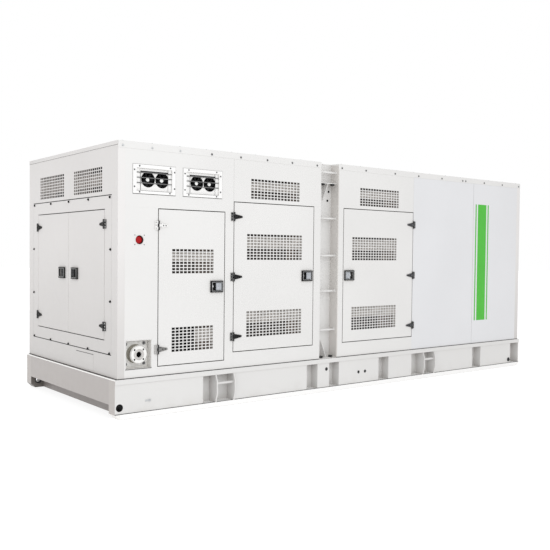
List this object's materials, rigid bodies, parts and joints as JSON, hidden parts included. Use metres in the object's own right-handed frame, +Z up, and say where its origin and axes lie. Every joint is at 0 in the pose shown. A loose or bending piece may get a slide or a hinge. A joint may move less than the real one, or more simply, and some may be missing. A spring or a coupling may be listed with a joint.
{
  "type": "gas generator set in a sound-proof canopy",
  "caption": "Skid-mounted gas generator set in a sound-proof canopy with side and end doors, punched vents, control fans, gas inlet flange, stop button and ladder niches.",
  "frame": {"origin": "middle of the footprint, on the floor", "axes": "+X along the set from the control end to the radiator end, +Y from the door side to the other side, +Z up"},
  "size_m": [6.058, 2.214, 2.485],
  "materials": {
    "canopy_paint": "satin powder coat, warm off-white",
    "base_paint": "satin powder coat, off-white",
    "black_hardware": "satin black coat",
    "fan_plastic": "moulded black plastic",
    "latch_steel": "brushed",
    "zinc": "zinc plated",
    "signal_red": "moulded red plastic",
    "seal_rubber": "sponge rubber on steel angle",
    "engine_grey": "painted castings"
  },
  "bodies": {
    "root": {"side_rail_right": "base_paint", "side_rail_left": "base_paint", "end_beams": "base_paint", "cross_members": "base_paint", "floor_deck": "base_paint", "lifting_bars": "base_paint", "right_wall_posts": "canopy_paint", "right_wall_headers": "canopy_paint", "right_wall_sills": "canopy_paint", "right_plenum_panels": "canopy_paint", "door_seal_frames": "seal_rubber", "left_wall": "canopy_paint", "left_doors": "canopy_paint", "left_door_hardware": "black_hardware", "front_end_wall": "canopy_paint", "front_access_panel": "canopy_paint", "rear_end_wall": "canopy_paint", "rear_access_panel": "canopy_paint", "ladder_niches": "canopy_paint", "ladder_rungs": "canopy_paint", "roof_panels": "canopy_paint", "roof_discharge_grille": "canopy_paint", "fan_housings": "canopy_paint", "fan_frames": "fan_plastic", "fan_guards": "zinc", "gas_inlet_box": "canopy_paint", "gas_inlet_flange": "zinc", "stop_button_collar": "black_hardware", "hinge_frame_leaves": "black_hardware", "engine": "engine_grey", "alternator": "engine_grey", "radiator": "black_hardware", "control_cabinet": "base_paint"},
    "right_door_1": {"right_door_1_leaf": "canopy_paint", "right_door_1_hardware": "black_hardware"},
    "right_door_1_paddle": {"right_door_1_latch": "latch_steel"},
    "right_door_2": {"right_door_2_leaf": "canopy_paint", "right_door_2_hardware": "black_hardware"},
    "right_door_2_paddle": {"right_door_2_latch": "latch_steel"},
    "right_door_3": {"right_door_3_leaf": "canopy_paint", "right_door_3_hardware": "black_hardware"},
    "right_door_3_paddle": {"right_door_3_latch": "latch_steel"},
    "front_door_left": {"front_door_left_leaf": "canopy_paint", "front_door_left_hardware": "black_hardware"},
    "front_door_left_paddle": {"front_door_left_latch": "latch_steel"},
    "front_door_right": {"front_door_right_leaf": "canopy_paint", "front_door_right_hardware": "black_hardware"},
    "front_door_right_paddle": {"front_door_right_latch": "latch_steel"},
    "stop_button_head": {"stop_button": "signal_red"},
    "fan_1": {"fan_rotor_1": "fan_plastic"},
    "fan_2": {"fan_rotor_2": "fan_plastic"},
    "fan_3": {"fan_rotor_3": "fan_plastic"},
    "fan_4": {"fan_rotor_4": "fan_plastic"}
  },
  "joints": [
    {"name": "right_door_1_hinge", "type": "hinge", "parent": "root", "child": "right_door_1", "pos_m": [-2.597, -1.082, 1.173], "axis": [0, 0, -1], "range_deg": [0, 110]},
    {"name": "right_door_2_hinge", "type": "hinge", "parent": "root", "child": "right_door_2", "pos_m": [-1.754, -1.082, 1.264], "axis": [0, 0, -1], "range_deg": [0, 110]},
    {"name": "right_door_3_hinge", "type": "hinge", "parent": "root", "child": "right_door_3", "pos_m": [0.853, -1.082, 1.256], "axis": [0, 0, 1], "range_deg": [0, 110]},
    {"name": "front_door_left_hinge", "type": "hinge", "parent": "root", "child": "front_door_left", "pos_m": [-3.017, 0.808, 1.285], "axis": [0, 0, -1], "range_deg": [0, 110]},
    {"name": "front_door_right_hinge", "type": "hinge", "parent": "root", "child": "front_door_right", "pos_m": [-3.017, -0.808, 1.285], "axis": [0, 0, 1], "range_deg": [0, 110]},
    {"name": "right_door_1_latch_pull", "type": "hinge", "parent": "right_door_1", "child": "right_door_1_paddle", "pos_m": [-1.905, -1.077, 1.173], "axis": [0, 0, 1], "range_deg": [0, 40], "stiffness_Nm_per_rad": 0.6},
    {"name": "right_door_2_latch_pull", "type": "hinge", "parent": "right_door_2", "child": "right_door_2_paddle", "pos_m": [-0.758, -1.077, 1.266], "axis": [0, 0, 1], "range_deg": [0, 40], "stiffness_Nm_per_rad": 0.6},
    {"name": "right_door_3_latch_pull", "type": "hinge", "parent": "right_door_3", "child": "right_door_3_paddle", "pos_m": [-0.241, -1.077, 1.265], "axis": [0, 0, -1], "range_deg": [0, 40], "stiffness_Nm_per_rad": 0.6},
    {"name": "front_door_left_latch_pull", "type": "hinge", "parent": "front_door_left", "child": "front_door_left_paddle", "pos_m": [-3.012, 0.105, 1.285], "axis": [0, 0, 1], "range_deg": [0, 40], "stiffness_Nm_per_rad": 0.6},
    {"name": "front_door_right_latch_pull", "type": "hinge", "parent": "front_door_right", "child": "front_door_right_paddle", "pos_m": [-3.012, -0.105, 1.285], "axis": [0, 0, -1], "range_deg": [0, 40], "stiffness_Nm_per_rad": 0.6},
    {"name": "stop_button_push", "type": "slide", "parent": "root", "child": "stop_button_head", "axis": [0, 1, 0], "range_m": [0, 0.006], "stiffness_N_per_m": 600},
    {"name": "fan_1_spin", "type": "hinge", "parent": "root", "child": "fan_1", "pos_m": [-2.6955, -1.031, 2.157], "axis": [0, -1, 0], "continuous": true},
    {"name": "fan_2_spin", "type": "hinge", "parent": "root", "child": "fan_2", "pos_m": [-2.5505, -1.031, 2.157], "axis": [0, -1, 0], "continuous": true},
    {"name": "fan_3_spin", "type": "hinge", "parent": "root", "child": "fan_3", "pos_m": [-2.1745, -1.031, 2.157], "axis": [0, -1, 0], "continuous": true},
    {"name": "fan_4_spin", "type": "hinge", "parent": "root", "child": "fan_4", "pos_m": [-2.0295, -1.031, 2.157], "axis": [0, -1, 0], "continuous": true}
  ]
}
